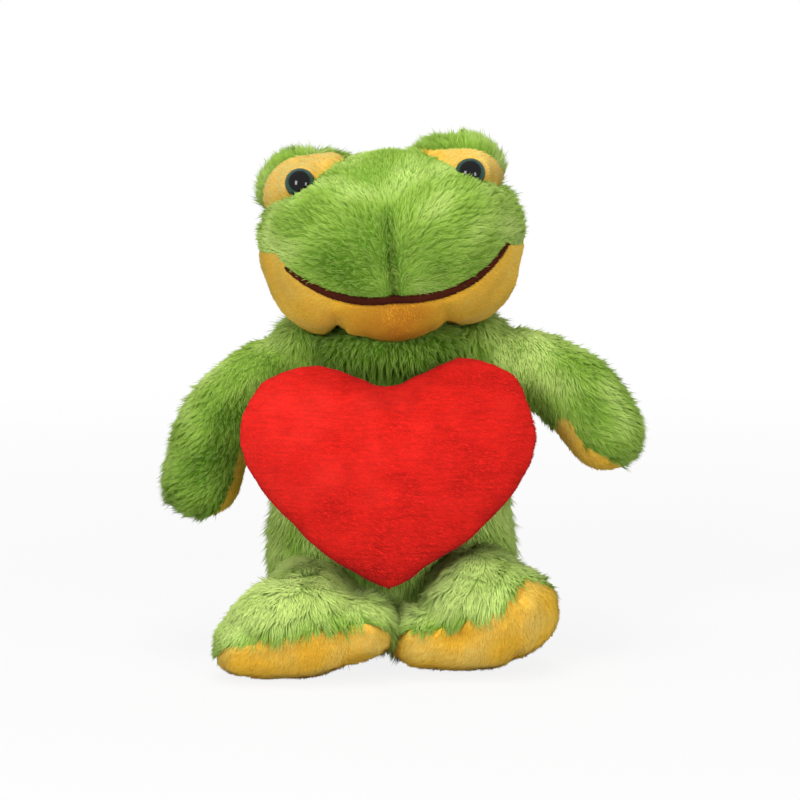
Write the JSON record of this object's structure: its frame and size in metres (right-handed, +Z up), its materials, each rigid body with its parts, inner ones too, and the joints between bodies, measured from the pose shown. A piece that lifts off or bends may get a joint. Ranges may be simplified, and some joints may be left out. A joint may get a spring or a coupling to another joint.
{
  "type": "plush frog",
  "caption": "Seated stuffed frog of long green pile with golden soles, palms and jaw, a red heart cushion on its chest, and limbs and head that turn at their seams.",
  "frame": {"origin": "centre of the flat patch on the underside of the torso, on the surface the toy sits on", "axes": "+Z up out of the seat through the head; the frog faces -Y; +X is towards the frog's own left hand"},
  "size_m": [0.2174, 0.131, 0.2367],
  "materials": {
    "green_plush": "long soft green pile, lighter at its tips",
    "golden_minky": "short golden pile",
    "red_minky": "short brushed red pile with a soft sheen",
    "brown_cord": "twisted dark brown thread cord",
    "eye_plastic": "polished black with a dark green ring",
    "washer_plastic": "natural moulded",
    "white_filling": "loose polyester fibre",
    "pellet_cloth": "thin woven bag filled with plastic pellets",
    "tack_thread": "bunched sewing thread"
  },
  "bodies": {
    "torso": {"torso_front_panel": "green_plush", "torso_back_panel": "green_plush", "torso_stuffing": "white_filling", "pellet_bag": "pellet_cloth"},
    "neck": {"neck_wad": "white_filling"},
    "head": {"snout_panel": "green_plush", "jaw_panel": "golden_minky", "head_back_panel": "green_plush", "head_stuffing": "white_filling", "mouth_cord": "brown_cord", "eye_hood_right": "green_plush", "eye_hood_left": "green_plush", "eye_patch_right": "golden_minky", "eye_patch_left": "golden_minky", "eye_right": "eye_plastic", "eye_left": "eye_plastic", "eye_washer_right": "washer_plastic", "eye_washer_left": "washer_plastic"},
    "arm_right": {"arm_right_outer_panel": "green_plush", "arm_right_inner_panel": "green_plush", "palm_right": "golden_minky", "arm_right_stuffing": "white_filling"},
    "arm_left": {"arm_left_outer_panel": "green_plush", "arm_left_inner_panel": "green_plush", "palm_left": "golden_minky", "arm_left_stuffing": "white_filling"},
    "leg_right": {"leg_right_panel": "green_plush", "sole_right": "golden_minky", "leg_right_stuffing": "white_filling"},
    "leg_left": {"leg_left_panel": "green_plush", "sole_left": "golden_minky", "leg_left_stuffing": "white_filling"},
    "heart": {"heart_front_panel": "red_minky", "heart_back_panel": "red_minky", "heart_stuffing": "white_filling", "heart_tack": "tack_thread"}
  },
  "joints": [
    {"name": "neck_turn", "type": "hinge", "parent": "torso", "child": "neck", "pos_m": [0, 0, 0.147], "axis": [0, 0, 1], "range_deg": [-30, 30]},
    {"name": "head_nod", "type": "hinge", "parent": "neck", "child": "head", "pos_m": [0, 0, 0.147], "axis": [1, 0, 0], "range_deg": [-8, 8]},
    {"name": "arm_right_raise", "type": "hinge", "parent": "torso", "child": "arm_right", "pos_m": [-0.03624, 0, 0.13], "axis": [0, 1, 0], "range_deg": [-10, 35]},
    {"name": "arm_left_raise", "type": "hinge", "parent": "torso", "child": "arm_left", "pos_m": [0.03624, 0, 0.13], "axis": [0, -1, 0], "range_deg": [-20, 22]},
    {"name": "leg_right_swing", "type": "hinge", "parent": "torso", "child": "leg_right", "pos_m": [-0.032, -0.022, 0.006], "axis": [1, 0, 0], "range_deg": [0, 70]},
    {"name": "leg_left_swing", "type": "hinge", "parent": "torso", "child": "leg_left", "pos_m": [0.032, -0.022, 0.006], "axis": [1, 0, 0], "range_deg": [0, 70]},
    {"name": "heart_flap", "type": "hinge", "parent": "torso", "child": "heart", "pos_m": [0, -0.03458, 0.104], "axis": [-1, 0, 0], "range_deg": [0, 20]}
  ]
}
